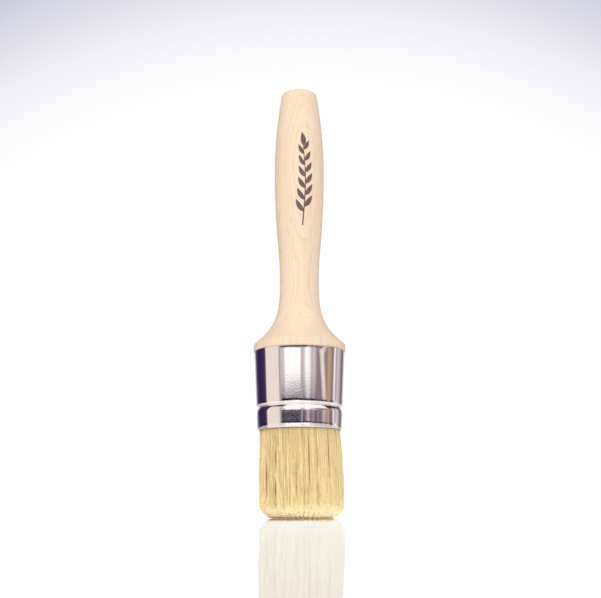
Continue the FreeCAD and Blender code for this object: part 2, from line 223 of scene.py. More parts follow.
def beech(name, base=(0.83, 0.685, 0.535), late=(0.7, 0.46, 0.28), fleck=(0.6, 0.34, 0.17)):
    """Straight-grained beech: growth rings round a far pith, ray flecks, fine pores."""
    material, g = new_material(name)
    x, y, z = g.split(g.object_mm())
    distance, arc = ring_place(g, x, y)
    line, year = growth_rings(g, distance, arc, z)
    spindles = g.noise(g.stretched(arc, distance, z, FLECK_GRAIN), 1.0, 2.5, 0.6)
    flecks = g.rescale(spindles, 0.62, 0.72, smooth=True)
    big_spindles = g.noise(g.stretched(arc, distance, z, BIG_FLECK_GRAIN), 1.0, 2.0)
    big_flecks = g.rescale(big_spindles, 0.6, 0.74, smooth=True)
    pores = g.noise(g.stretched(arc, distance, z, PORE_GRAIN), 1.0, 3.0, 0.6)
    broad = g.noise(g.stretched(x, y, z, BROAD_GRAIN), 1.0, 2.0)

    warmer = (base[0] * 0.99, base[1] * 0.95, base[2] * 0.91)
    colour = g.mix(g.rescale(broad, 0.35, 0.65), base, warmer)
    colour = g.mix(g.times(year, 0.2), colour, late)
    colour = g.mix(g.times(line, 0.5), colour, late)
    colour = g.mix(g.times(flecks, 0.5), colour, fleck)
    colour = g.mix(g.times(big_flecks, 0.2), colour, fleck)
    colour = g.mix(g.rescale(pores, 0.35, 0.75, 0.0, 0.14), colour, PORE_BROWN)

    gloss = g.rescale(pores, 0.3, 0.7, 0.42, 0.58)
    relief = g.minus(pores, g.times(flecks, 0.35))
    g.surface(base_color=colour, roughness=gloss, normal=g.bump(relief, 0.03 * MM, 0.6))
    return material


ROLLED_FEET = (64.4, 51.45)         # the cone and the band are rolled inwards just above these heights, mm
ROLL_LENGTH = 1.7                   # mm
ROLL_DEPTH = 0.032                  # mm
SKIN_RIPPLE = 0.002                 # height of the plate's slow unevenness, mm
SKIN_GRAIN = 0.008                  # height of its fine grain, mm
POLISH_GRAIN = (1.2, 26.0, 1.0)     # polishing marks: long round the ferrule and short up it


def plated_steel(name, tint=(0.93, 0.92, 0.93), rough=0.014):
    """Bright plate with an uneven skin and fine polishing marks."""
    material, g = new_material(name)
    point = g.object_mm()
    x, y, z = g.split(point)
    ripple = g.noise(point, 0.3, 1.0)
    grain = g.noise(point, 1.55, 1.0)
    marks = g.noise(g.stretched(g.math("ARCTAN2", x, y), z, 1.0, POLISH_GRAIN), 1.0, 2.0)
    duller = (tint[0] * 0.965, tint[1] * 0.955, tint[2] * 0.965)
    tone = g.mix(g.rescale(g.noise(point, 0.09, 2.0), 0.3, 0.7), tint, duller)
    gloss = g.rescale(g.plus(marks, g.times(grain, 0.6)), 0.5, 1.1, rough, rough * 2.4)
    height = g.plus(g.times(ripple, SKIN_RIPPLE), g.times(grain, SKIN_GRAIN))
    for foot in ROLLED_FEET:
        run = g.rescale(z, foot + ROLL_LENGTH, foot)
        height = g.minus(height, g.times(g.times(run, run), ROLL_DEPTH))
    g.surface(base_color=tone, metallic=1.0, roughness=gloss, normal=g.bump(height, MM))
    return material


def resin(name):
    """Poured amber resin with a few darker clouds."""
    material, g = new_material(name)
    point = g.object_mm()
    cloud = g.noise(point, 0.3, 4.0)
    colour = g.ramp(cloud, [(0.3, (0.2, 0.1, 0.03)), (0.7, (0.46, 0.28, 0.11))])
    normal = g.bump(g.noise(point, 1.5, 3.0), 0.1 * MM, 0.4)
    g.surface(base_color=colour, roughness=g.rescale(cloud, 0.3, 0.7, 0.12, 0.3), normal=normal)
    return material


STREAK_GRAIN = (2.2, 2.2, 0.5)      # changes per mm: sideways, in depth and up
SCALE_GRAIN = (9.0, 9.0, 1.5)       # the fine scales of a bristle
PALE_HAIR = (1.0, 0.93, 0.68)
FOOT_PAINTED_SHADE = (0.62, 0.27, 0.02)     # painted shade on the foot of the knot, next to the table
FOOT_LOW, FOOT_HIGH = 0.15, 1.0     # heights where that painted shade is full, and where it has gone, mm
GAP_PAINTED_SHADE = (0.25, 0.1, 0.02)       # painted shade inside a parting


def hair(name, root, middle, tip, dark):
    """Natural bristle: a tone for each hair, paler towards its tip, with faint streaks."""
    material, g = new_material(name)
    tone = g.attribute("tone")
    along = g.attribute("along")
    x, y, z = g.split(g.object_mm())
    streak = g.noise(g.stretched(x, y, z, STREAK_GRAIN), 1.0, 3.0)
    colour = g.mix(g.rescale(along, 0.0, 0.35, smooth=True), root, middle)
    colour = g.mix(g.rescale(along, 0.7, 1.0, smooth=True), colour, tip)
    colour = g.mix(g.rescale(tone, 0.45, 1.0), colour, g.mix(0.5, colour, PALE_HAIR))
    colour = g.mix(g.rescale(tone, 0.3, 0.0, 0.0, 0.6), colour, dark)
    colour = g.mix(g.rescale(streak, 0.42, 0.8, 0.0, 0.35), colour, dark)
    # Painted shade: every hair turns brown towards the foot of the knot.
    colour = g.mix(g.rescale(z, FOOT_LOW, FOOT_HIGH, 0.85, 0.0), colour, FOOT_PAINTED_SHADE)
    # Painted shade inside the partings: hairs in a gap turn dark brown.
    colour = g.mix(g.times(g.attribute("gap_shade"), 0.8), colour, GAP_PAINTED_SHADE)
    scales = g.noise(g.stretched(x, y, z, SCALE_GRAIN), 1.0, 2.0)
    gloss = g.rescale(tone, 0.0, 1.0, 0.34, 0.52)
    g.surface(base_color=colour, roughness=gloss, normal=g.bump(scales, 0.02 * MM, 0.5))
    return material


INK_GRAIN = (4.0, 4.0, 0.6)


def ink(name):
    """Dark print that has sunk unevenly into the grain."""
    material, g = new_material(name)
    x, y, z = g.split(g.object_mm())
    grain = g.noise(g.stretched(x, y, z, INK_GRAIN), 1.0, 3.0)
    stops = [(0.25, (0.085, 0.045, 0.04)), (0.55, (0.15, 0.085, 0.075)), (0.8, (0.3, 0.19, 0.15))]
    gloss = g.rescale(grain, 0.3, 0.7, 0.45, 0.65)
    g.surface(base_color=g.ramp(grain, stops), roughness=gloss, normal=g.bump(grain, 0.02 * MM, 0.5))
    return material


# ---------------------------------------------------------------- the knot's shape, in mm

TIP_ROUND = 9.2                     # radius of the rounded edge round the tips
KNOT_R = KNOT_RADIUS - 0.2          # the hairs stand just inside the solid that they replace
FLAT_RADIUS = KNOT_R - TIP_ROUND    # the tips' flat inside the rounded edge
MOUTH_R = 23.3                      # bristles just inside the ferrule's lip
WIDE_Z = 22.0                       # height of full width
ROOT_Z = MOUTH + 3.0                # hidden start of the bristles inside the ferrule
LEAN = 1.3                          # the tips stand this far to the right of the mouth
TURN_SHARE = 0.62                   # share of a hair's points before it reaches the rounded edge
LAST_TURN = math.radians(82)        # no hair turns further in than this at its tip
OUTER_DEPTH = 4.0                   # hairs deeper than this don't follow the tufts
TUFTS = 44                          # small tufts that the tips gather in, round the knot
TUFT_PULL = 0.55                    # how far a tip moves towards its tuft
TUFT_LIFT = 1.3                     # how much shorter the hairs between two tufts end
TUFT_TOP = 13.0                     # the tufts begin at this height
LOWEST_HAIR = 0.12                  # the middle of a tip stays this high
LOWEST_END = 0.1                    # the same for the short fine ends
LOWEST_SKIN = 0.03                  # and this is the lowest point of any hair's surface

# Partings seen round the knot: azimuth from the front in degrees, upper and lower end, half width.
PARTINGS = [
    (-65, 26, 12, 0.12), (-54, 34, 11, 0.36), (-36, 44, 28, 0.28), (-37, 22, 5, 0.42),
    (-16, 20, 6, 0.12), (-7, 30, 12, 0.18), (11, 46, 14, 0.23), (24, 15, 5, 0.14),
    (41, 48, 22, 0.24), (53, 34, 20, 0.18), (66, 42, 18, 0.16), (84, 44, 12, 0.25),
    (118, 38, 9, 0.3), (151, 46, 14, 0.2), (-176, 40, 6, 0.3), (-149, 45, 18, 0.2),
    (-121, 36, 7, 0.3), (-83, 47, 15, 0.2),
]
SMALL_PARTINGS = 150                # more of them, at random places
PARTING_REACH = 1.1                 # how far a parting pushes the hairs beside it
GAP_SHOWS = 0.1                     # a parting wider than this gets painted shade inside, half width
DARKEST_GAP = 0.3                   # and one wider than this gets the darkest painted shade


def knot_radius(z):
    """Outer radius of the knot at a height, without the rounding at the tips."""
    rise = np.clip((z - WIDE_Z) / (MOUTH - WIDE_Z), 0, 1.2)
    return KNOT_R - (KNOT_R - MOUTH_R) * rise ** 1.3


def lean(z):
    """How far the knot's middle has moved to the right at a height."""
    return LEAN * np.sqrt(np.clip(1 - z / MOUTH, 0, 1))


def place_points(radius, angle, z, lowest):
    """Points from their radius, their angle to the right of the front, and their height."""
    x = radius * np.sin(angle) + lean(z)
    y = -radius * np.cos(angle)
    return np.stack([x, y, np.maximum(z, lowest)], axis=2)


def all_partings(rng):
    """The listed partings and the small random ones."""
    azimuths = rng.uniform(-180, 180, SMALL_PARTINGS)
    tops = rng.uniform(18, 50, SMALL_PARTINGS)
    lengths = rng.uniform(5, 22, SMALL_PARTINGS)
    widths = rng.uniform(0.03, 0.13, SMALL_PARTINGS)
    return PARTINGS + list(zip(azimuths, tops, np.maximum(2.0, tops - lengths), widths))


def part_hairs(angle, z, depth, rng):
    """Turns hairs aside from the partings, so that gaps open between the locks.

    Also gives how strongly each point is darkened as painted shade inside a gap, from 0 to 1.
    """
    moved = angle.copy()
    gap_shade = np.zeros_like(angle)
    for azimuth, top, low, width in all_partings(rng):
        off = (moved - math.radians(azimuth) + math.pi) % TAU - math.pi
        arc = off * KNOT_R
        near = np.exp(-np.abs(arc) / PARTING_REACH) * np.clip(1.2 - depth / 3.2, 0, 1)
        span = np.clip((z - low) / (top - low), 0, 1)
        opened = np.sin(math.pi * span) ** 0.7
        moved += np.where(arc >= 0, 1, -1) * width * near * opened / KNOT_R
        # Painted shade: the hairs inside a wide parting are darkened.
        if width > GAP_SHOWS:
            darkness = min(1.0, width / DARKEST_GAP)
            gap_shade = np.maximum(gap_shade, darkness * opened * np.clip(1.4 - np.abs(arc) / width, 0, 1))
    return moved, gap_shade


def tuft_phase(angle):
    """The wave of the tufts round the knot, with some tufts wider than others."""
    return TUFTS * angle + 1.7 * np.sin(3 * angle) + 0.9 * np.sin(7 * angle + 1)


def tuft_share(angle):
    """0 between two tufts and 1 in the middle of one."""
    return 0.5 + 0.5 * np.cos(tuft_phase(angle))


def sway(z, size, short, long, rng):
    """A wave along each hair, with its own size, length and start."""
    count = len(z)
    length = rng.uniform(short, long, count)[:, None]
    start = rng.uniform(0, 1, count)[:, None]
    return rng.normal(0, size, count)[:, None] * np.sin(TAU * (z / length + start))


def tip_turn(stand, outerness, rng):
    """How far round the rounded edge each hair has come at its tip, in radians."""
    count = len(stand)
    met = np.arccos(np.clip((stand - FLAT_RADIUS) / TIP_ROUND, 0, 1))
    extra = np.radians(rng.uniform(2, 16, count) + outerness * rng.uniform(6, 50, count))
    return np.minimum(met + extra, LAST_TURN)


def hair_sections(stand, last, cut, rings):
    """Height and radius of each hair's points: straight down first, then round the edge of the tips."""
    share = np.linspace(0, 1, rings)[None, :] ** 0.9
    turning = np.clip((share - TURN_SHARE) / (1 - TURN_SHARE), 0, 1)
    sweep = last[:, None] * turning
    straight = ROOT_Z + (TIP_ROUND - ROOT_Z) * np.minimum(share / TURN_SHARE, 1)
    rounded = np.where(share < TURN_SHARE, straight, TIP_ROUND * (1 - np.sin(sweep)))
    rounded = np.maximum(rounded, 0) + cut[:, None] * turning
    flat = (stand < FLAT_RADIUS)[:, None]
    z = np.where(flat, ROOT_Z + (cut[:, None] - ROOT_Z) * share, rounded)
    radius = stand[:, None] * knot_radius(z) / KNOT_R
    depth = KNOT_R - stand
    edge_radius = FLAT_RADIUS + TIP_ROUND * np.cos(sweep) - 0.25 * depth[:, None] / 4
    radius = np.where(flat | (share < TURN_SHARE), radius, np.minimum(radius, edge_radius))
    return z, radius


def hair_paths(count, shallow, deep, rings, rng, tip_spread):
    """Centre lines of hairs that stand between two depths under the knot's surface.

    Gives an array of shape (count, rings, 3), and the painted shade of a gap at each point.
    """
    inner, outer = KNOT_R - deep, KNOT_R - shallow
    stand = np.sqrt(rng.uniform(max(inner, 0.0) ** 2, outer ** 2, count))
    angle = rng.uniform(-math.pi, math.pi, count)
    depth = KNOT_R - stand
    outerness = np.clip(1 - depth / OUTER_DEPTH, 0, 1)
    last = tip_turn(stand, outerness, rng)
    cut = rng.gamma(1.6, tip_spread, count) + TUFT_LIFT * (1 - tuft_share(angle)) * outerness
    z, radius = hair_sections(stand, last, cut, rings)

    pull = -np.sin(tuft_phase(angle)) * TUFT_PULL / KNOT_R
    moved = np.repeat(angle[:, None], rings, 1)
    moved = moved + (pull * outerness)[:, None] * np.clip(1 - z / TUFT_TOP, 0, 1)
    swing = rng.normal(0, 0.014, count)[:, None] * (1 - z / ROOT_Z)
    wave = sway(z, 0.0024, 14, 34, rng) + sway(z, 0.005, 35, 80, rng)
    moved = moved + (swing + wave) * np.clip(z / ROOT_Z * -4 + 4, 0, 1)
    moved, gap_shade = part_hairs(moved, z, np.repeat(depth[:, None], rings, 1), rng)
    ripple = sway(z, 0.2, 18, 44, rng)
    radius = np.maximum(radius + ripple * np.clip((MOUTH - z) / 12, 0, 1), 0)
    radius = np.minimum(radius, knot_radius(z) + 0.1)
    return place_points(radius, moved, z, LOWEST_HAIR), gap_shade


def end_paths(count, rings, rng):
    """Centre lines of the short fine ends that stand out over the rounded edge."""
    angle = rng.uniform(-math.pi, math.pi, count)
    slope = np.radians(90 * rng.uniform(0, 1, count) ** 0.8)
    height = rng.uniform(0, 5.5, count) * (slope < math.radians(12))
    length = rng.uniform(1.2, 3.6, count)
    aside = rng.normal(0, 0.2, count)
    lift = rng.uniform(0.02, 0.45, count)
    share = np.linspace(0, 1, rings)[None, :]
    run = slope[:, None] + share * (length / TIP_ROUND)[:, None]
    run = np.minimum(run, math.radians(88))
    proud = lift[:, None] * share ** 1.5 - 0.45 * (1 - share)
    radius = FLAT_RADIUS + (TIP_ROUND + proud) * np.cos(run)
    z = TIP_ROUND * (1 - np.sin(run)) - proud * np.sin(run) + height[:, None] * (1 - share * 0.4)
    z = z + TUFT_LIFT * 0.8 * (1 - tuft_share(angle)[:, None]) * share
    moved = angle[:, None] + aside[:, None] * share * length[:, None] / KNOT_R
    radius = np.minimum(radius, KNOT_R + 0.15)
    return place_points(radius, moved, z, LOWEST_END), np.zeros_like(z)


# ---------------------------------------------------------------- hairs as meshes

CELL_COLUMNS = 128                  # cells across the UV layer
CELL_MARGIN = 0.12                  # empty share of a cell on each side


def in_cell(index, share, cells):
    """Place in a UV layer of a share of a cell, inside the cell's margins."""
    return (index[:, None] + CELL_MARGIN + (1 - 2 * CELL_MARGIN) * share) / cells


def atlas(mesh, count, rings, sides):
    """Gives each hair its own cell of a UV layer, so that its tone can be kept in a picture."""
    rows = -(-count // CELL_COLUMNS)
    hair_of = np.repeat(np.arange(count), (rings - 1) * sides)
    ring_of = np.tile(np.repeat(np.arange(rings - 1), sides), count)
    side_of = np.tile(np.arange(sides), count * (rings - 1))
    u = np.stack([side_of, side_of + 1, side_of + 1, side_of], axis=1) / sides
    v = np.stack([ring_of, ring_of, ring_of + 1, ring_of + 1], axis=1) / (rings - 1)
    u = in_cell(hair_of % CELL_COLUMNS, u, CELL_COLUMNS)
    v = in_cell(hair_of // CELL_COLUMNS, v, rows)
    cap_of = np.tile(np.arange(count), 2)
    end = np.repeat([0.0, 1.0], count)
    cap_u = in_cell(cap_of % CELL_COLUMNS, np.linspace(0.2, 0.8, sides)[None, :], CELL_COLUMNS)
    cap_v = in_cell(cap_of // CELL_COLUMNS, end[:, None] * 0.98 + 0.01, rows)
    cap_v = np.repeat(cap_v, sides, axis=1)
    flat_u = np.concatenate([u.ravel(), cap_u.ravel()])
    flat_v = np.concatenate([v.ravel(), cap_v.ravel()])
    layer = mesh.uv_layers.new(name="OFBake")
    layer.data.foreach_set("uv", np.stack([flat_u, flat_v], axis=1).ravel().astype(np.float32))


def tube_points(paths, thick, sides):
    """Points round each path, ring by ring, in metres."""
    along = np.gradient(paths, axis=1)
    along /= np.linalg.norm(along, axis=2, keepdims=True) + 1e-12
    side = np.cross(along, np.array([0.0, 1.0, 0.02]))
    side /= np.linalg.norm(side, axis=2, keepdims=True)
    other = np.cross(along, side)
    turn = np.linspace(0, TAU, sides, endpoint=False)[None, None, :, None]
    offset = side[:, :, None] * np.cos(turn) + other[:, :, None] * np.sin(turn)
    points = paths[:, :, None] + offset * thick[:, :, None, None]
    points = points.reshape(-1, 3) * MM
    points[:, 2] = np.maximum(points[:, 2], LOWEST_SKIN * MM)
    return points


def tube_faces(count, rings, sides):
    """Corner numbers of the tubes' four-sided faces, and of the caps at their two ends."""
    start = np.arange(count)[:, None, None] * rings * sides
    low = start + np.arange(rings - 1)[None, :, None] * sides
    high = low + sides
    here = np.arange(sides)[None, None, :]
    after = (here + 1) % sides
    corners = np.broadcast_arrays(low + here, low + after, high + after, high + here)
    quads = np.stack(corners, axis=3).reshape(-1, 4)
    first = start[:, :, 0] + np.arange(sides)[None, ::-1]
    last = start[:, :, 0] + (rings - 1) * sides + np.arange(sides)[None, :]
    return quads, np.concatenate([first, last])


def hair_mesh(name, paths, gap_shade, thick, sides, tone, material):
    """Closed tapered tubes along the paths, all in one mesh.

    Each point carries its hair's tone, its share of the hair's length and the painted shade of a gap over it.
    """
    count, rings = paths.shape[:2]
    points = tube_points(paths, thick, sides)
    quads, caps = tube_faces(count, rings, sides)
    mesh = bpy.data.meshes.new(name)
    mesh.vertices.add(len(points))
    mesh.vertices.foreach_set("co", points.ravel())
    loops = np.concatenate([quads.ravel(), caps.ravel()])
    starts = np.concatenate([np.arange(len(quads)) * 4, len(quads) * 4 + np.arange(len(caps)) * sides])
    mesh.loops.add(len(loops))
    mesh.loops.foreach_set("vertex_index", loops.astype(np.int32))
    mesh.polygons.add(len(starts))
    mesh.polygons.foreach_set("loop_start", starts.astype(np.int32))
    mesh.polygons.foreach_set("use_smooth", np.ones(len(starts), bool))
    mesh.update(calc_edges=True)
    atlas(mesh, count, rings, sides)

    values = {
        "tone": np.repeat(tone, rings * sides),
        "along": np.tile(np.repeat(np.linspace(0, 1, rings), sides), count),
        "gap_shade": np.repeat(gap_shade.ravel(), sides),
    }
    for key, value in values.items():
        layer = mesh.attributes.new(key, "FLOAT", "POINT")
        layer.data.foreach_set("value", value.astype(np.float32))
    mesh.validate()
    piece = show(name, mesh)
    mesh.materials.append(material)
    return piece


def taper(count, rings, root, tip, rng):
    """Radius of each hair along its length: even for most of it, then drawn out to the tip."""
    share = np.linspace(0, 1, rings)[None, :]
    size = root * rng.uniform(0.75, 1.3, count)[:, None]
    return size * (1 - (1 - tip / root) * share ** 3)


def tones(paths, rng, dark_share):
    """Tone of each hair: its lock's tone, its own, and a few dark ones."""
    count = len(paths)
    middle = paths.shape[1] // 2
    angle = np.arctan2(paths[:, middle, 0], -paths[:, middle, 1])
    lock = 0.52 + 0.09 * np.sin(angle * 23 + 1.3) + 0.08 * np.sin(angle * 41 + 0.4)
    tone = np.clip(rng.normal(lock, 0.19), 0.05, 1)
    dark = rng.random(count) < dark_share
    tone[dark] = rng.uniform(0, 0.14, dark.sum())
    return tone


# ---------------------------------------------------------------- the bristles

HAIR_SIDES = 3
END_COUNT, END_RINGS = 8000, 4
END_ROOT, END_TIP = 0.12, 0.05      # radii of the short fine ends, mm

# Colours of a hair's root, middle and tip, and of its dark streaks.
OUTER_HAIR = ((0.98, 0.79, 0.42), (0.99, 0.82, 0.44), (1.0, 0.9, 0.61), (0.5, 0.23, 0.05))
# The deeper hairs are the same bristle in darker colours: painted shade inside the knot.
INNER_HAIR_PAINTED_SHADE = ((0.6, 0.38, 0.1), (0.88, 0.66, 0.25), (0.8, 0.56, 0.2), (0.2, 0.08, 0.015))
END_HAIR = ((0.99, 0.87, 0.55), (1.0, 0.93, 0.68), (1.0, 0.98, 0.85), (0.7, 0.45, 0.16))


def make_bristles():
    """Four layers of bristles from the skin of the knot to its middle, and the fine ends at the tips."""
    rng = np.random.default_rng(41)
    outer_hair = hair("bristle_outer", *OUTER_HAIR)
    # The two deep layers of hairs take darker colours as painted shade.
    inner_hair_painted_shade = hair("bristle_inner_painted_shade", *INNER_HAIR_PAINTED_SHADE)
    end_hair = hair("bristle_end", *END_HAIR)
    groups = [
        # name, count, shallow, deep, rings, root radius, tip radius, tip spread, dark share, material
        ("bristles_surface", 3900, 0.0, 0.9, 9, 0.115, 0.045, 0.34, 0.06, outer_hair),
        ("bristles_second", 3600, 0.5, 2.0, 9, 0.13, 0.05, 0.26, 0.07, outer_hair),
        ("bristles_under", 3300, 1.8, 4.8, 8, 0.17, 0.06, 0.3, 0.08, inner_hair_painted_shade),
        ("bristles_core", 4600, 4.6, KNOT_R, 5, 0.24, 0.07, 0.35, 0.05, inner_hair_painted_shade),
    ]
    made = []
    for name, count, shallow, deep, rings, root, tip, spread, dark, material in groups:
        paths, gap_shade = hair_paths(count, shallow, deep, rings, rng, spread)
        thick = taper(count, rings, root, tip, rng)
        tone = tones(paths, rng, dark)
        made.append(hair_mesh(name, paths, gap_shade, thick, HAIR_SIDES, tone, material))
    ends, gap_shade = end_paths(END_COUNT, END_RINGS, rng)
    thick = taper(END_COUNT, END_RINGS, END_ROOT, END_TIP, rng)
    tone = tones(ends, rng, 0.03)
    made.append(hair_mesh("bristles_ends", ends, gap_shade, thick, HAIR_SIDES, tone, end_hair))
    for piece in made:
        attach(piece, "root")
        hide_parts("bristle_bundle")


# ---------------------------------------------------------------- the printed sprig, in mm

SPRIG_AZIMUTH = math.radians(10)    # middle of the print, to the right of the front
SPRIG_LOW, SPRIG_HIGH = 171.0, 230.5
PRINT_RISE = 0.05                   # top of the ink above the wood
PRINT_SINK = 0.05                   # underside of the ink, inside the wood
PRINT_RADIUS = 14.5                 # turns an arc on the handle into an angle
RAY_START = 60.0                    # well outside the handle
STEM_SWAY = 1.1                     # how far the stem bends to each side
STEM_FOOT, STEM_THINNING = 0.42, 0.22   # half width at the foot, and how much thinner the top is
TOP_LEAF = (9.2, 3.2)               # length and width
TOP_LEAF_TURN = 0.12                # radians
TOP_LEAF_ROOM = 9.0                 # the stem ends this far under the top of the print
SIDE_LEAF = (9.6, 3.1)              # length and width before the leaves get smaller
LEAF_PAIRS = 6
FIRST_LEAF, LEAF_RUN = 0.2, 0.72    # shares of the stem: the lowest pair, and from it to the highest


def surface_finder():
    """A function that gives the point of the handle's skin at an arc and a height, with a rise above it."""
    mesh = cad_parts["handle"].data
    tree = BVHTree.FromPolygons([v.co for v in mesh.vertices], [p.vertices[:] for p in mesh.polygons])

    def find(arc, height, rise):
        azimuth = SPRIG_AZIMUTH + arc / PRINT_RADIUS
        out = Vector((math.sin(azimuth), -math.cos(azimuth), 0))
        start = out * RAY_START * MM + Vector((0, 0, height * MM))
        hit = tree.ray_cast(start, -out)[0]
        return hit + out * rise * MM

    return find


def stem(share):
    """Arc and height of the stem's middle at a share of its length."""
    aside = STEM_SWAY * math.sin(share * math.pi * 1.15 - 0.4)
    return aside, SPRIG_LOW + share * (SPRIG_HIGH - SPRIG_LOW - TOP_LEAF_ROOM)


def stem_rows(steps=60, across=2):
    """Rows of points along the stem, thinner towards the top."""
    rows = []
    for i in range(steps + 1):
        share = i / steps
        x, y = stem(share)
        half = STEM_FOOT - STEM_THINNING * share
        rows.append([(x + half * k, y) for k in np.linspace(-1, 1, across + 1)])
    return rows


def leaf_rows(base, turn, length, width, steps=14, across=4):
    """Rows of points over one leaf: a pointed blade that curls slightly towards the stem's top."""
    curl = -0.21 if turn > 0 else 0.21
    rows = []
    for i in range(steps + 1):
        share = i / steps
        bend = turn + curl * share
        half = 0.5 * width * math.sin(math.pi * share ** 0.8) ** 0.9 + 0.03
        x = base[0] + length * share * math.sin(bend)
        y = base[1] + length * share * math.cos(bend)
        aside, up = half * math.cos(bend), -half * math.sin(bend)
        rows.append([(x + aside * k, y + up * k) for k in np.linspace(-1, 1, across + 1)])
    return rows


def print_patch(rows, find, points, faces):
    """Adds a thin closed patch that follows the handle's skin."""
    columns = len(rows[0])
    start = len(points)
    for rise in (PRINT_RISE, -PRINT_SINK):
        points.extend(find(x, y, rise) for row in rows for x, y in row)
    layer = len(rows) * columns

    def at(row, column, under):
        return start + under * layer + row * columns + column

    for row in range(len(rows) - 1):
        for column in range(columns - 1):
            corners = [(row, column), (row, column + 1), (row + 1, column + 1), (row + 1, column)]
            faces.append([at(r, c, 0) for r, c in corners])
            faces.append([at(r, c, 1) for r, c in reversed(corners)])
    top, right = len(rows) - 1, columns - 1
    border = [(0, c) for c in range(columns)]
    border += [(r, right) for r in range(1, len(rows))]
    border += [(top, c) for c in range(right - 1, -1, -1)]
    border += [(r, 0) for r in range(top - 1, 0, -1)]
    for (r, c), (rn, cn) in zip(border, border[1:] + border[:1]):
        faces.append([at(rn, cn, 0), at(r, c, 0), at(r, c, 1), at(rn, cn, 1)])


def make_sprig():
    """A plain printed sprig: a stem, pairs of leaves that get smaller upwards, and a top leaf."""
    find = surface_finder()
    points, faces = [], []
    print_patch(stem_rows(), find, points, faces)
    for k in range(LEAF_PAIRS):
        share = FIRST_LEAF + LEAF_RUN * k / (LEAF_PAIRS - 1)
        size = 1 - 0.28 * share
        for side in (-1, 1):
            base = stem(share + 0.03 * side)
            turn = side * math.radians(46 - 8 * share)
            leaf = leaf_rows(base, turn, SIDE_LEAF[0] * size, SIDE_LEAF[1] * size)
            print_patch(leaf, find, points, faces)
    print_patch(leaf_rows(stem(1.0), TOP_LEAF_TURN, *TOP_LEAF), find, points, faces)
    mesh = bpy.data.meshes.new("printed_sprig")
    mesh.from_pydata(points, [], faces)
    mesh.update()
    piece = show("printed_sprig", mesh)
    dress(piece, ink("sprig_ink"))
    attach(piece, "root")


# ---------------------------------------------------------------- the studio that the plated ferrule shows

# Azimuth in degrees to the right of the camera's side, and colour.
# HIGH_BANDS are the walls. LOW_BANDS are what stands near the floor.
WHITE, BEIGE, NAVY = (1.18, 1.12, 1.1), (0.9, 0.79, 0.71), (0.034, 0.017, 0.078)
HIGH_BANDS = [
    (-180, (0.8, 0.77, 0.83)), (-162, (0.7, 0.66, 0.75)), (-146, (0.09, 0.065, 0.12)),
    (-131, NAVY), (-118, NAVY), (-104, (0.05, 0.03, 0.07)), (-98, (0.12, 0.085, 0.11)),
    (-95, BEIGE), (-56, (0.88, 0.78, 0.71)), (-52, (0.38, 0.3, 0.31)), (-48, (0.66, 0.56, 0.57)),
    (-41, (0.64, 0.56, 0.56)), (-35, WHITE), (1, WHITE), (6, (0.48, 0.4, 0.4)),
    (13, (0.8, 0.74, 0.74)), (18, WHITE), (27, (0.95, 0.9, 0.88)), (32, (0.54, 0.46, 0.46)),
    (37, (0.68, 0.6, 0.61)), (41, (0.55, 0.46, 0.48)), (47, (0.29, 0.21, 0.21)),
    (74, (0.31, 0.24, 0.21)), (80, (0.5, 0.36, 0.27)), (88, (0.46, 0.31, 0.22)),
    (94, (0.26, 0.16, 0.14)), (99, (0.45, 0.38, 0.39)), (103, (1.15, 1.08, 1.12)),
    (108, (0.42, 0.37, 0.39)), (119, (0.68, 0.6, 0.58)), (142, (0.12, 0.08, 0.1)),
    (162, (0.78, 0.74, 0.8)),
]
LOW_BANDS = [
    (-180, (0.8, 0.77, 0.83)), (-162, (0.7, 0.66, 0.75)), (-146, (0.2, 0.17, 0.24)),
    (-131, (0.03, 0.012, 0.06)), (-108, (0.014, 0.004, 0.045)), (-102, (0.05, 0.028, 0.055)),
    (-97, (0.16, 0.11, 0.12)), (-93, BEIGE), (-56, (0.86, 0.75, 0.69)), (-51, (0.4, 0.33, 0.34)),
    (-47, (0.045, 0.03, 0.055)), (-4, (0.075, 0.055, 0.09)), (3, (0.12, 0.09, 0.125)),
    (7, (0.42, 0.36, 0.4)), (11, (0.08, 0.06, 0.09)), (17, (0.25, 0.2, 0.24)),
    (23, (0.58, 0.5, 0.54)), (29, (0.18, 0.14, 0.18)), (36, (0.32, 0.26, 0.29)),
    (45, (0.13, 0.09, 0.12)), (51, (0.34, 0.26, 0.29)), (56, (0.17, 0.12, 0.14)),
    (69, (0.52, 0.41, 0.4)), (74, (0.27, 0.19, 0.17)), (84, (0.56, 0.39, 0.29)),
    (90, (0.1, 0.06, 0.07)), (98, (0.16, 0.12, 0.16)), (105, (0.78, 0.7, 0.73)),
    (115, (1.05, 0.95, 0.93)), (125, (0.6, 0.52, 0.52)), (136, (0.12, 0.08, 0.11)),
    (158, (0.72, 0.66, 0.72)),
]
WALL_FOOT, WALL_FULL = 1.65, 3.4    # the low bands turn into the high ones between these elevations, degrees
CEILING_FOOT, CEILING_FULL = 13, 30     # and the walls turn into the ceiling between these
CEILING_WHITE, CEILING_DARK = (1.07, 1.03, 1.02), (0.05, 0.03, 0.05)
FRONT_LEFT, FRONT_RIGHT = -51, 84   # the white ceiling stands between these azimuths
PANEL_LEFT, PANEL_RISE = -95, 17.0  # the beige panel reaches from here to FRONT_LEFT, and is this much taller
DARK_LEFT, DARK_RIGHT = -46, 92     # the far side of the room is dark between these
FAR_SIDE = (0.014, 0.005, 0.03)
STAND_AZIMUTH, STAND_HALF = 62, 6   # a leaning white stand on the right
STAND_SLANT = 4.0                   # how far it leans, degrees across for each degree up
STAND_MIDDLE = 4.4                  # the elevation where it stands at its own azimuth
STAND_COLOUR = (0.84, 0.74, 0.68)


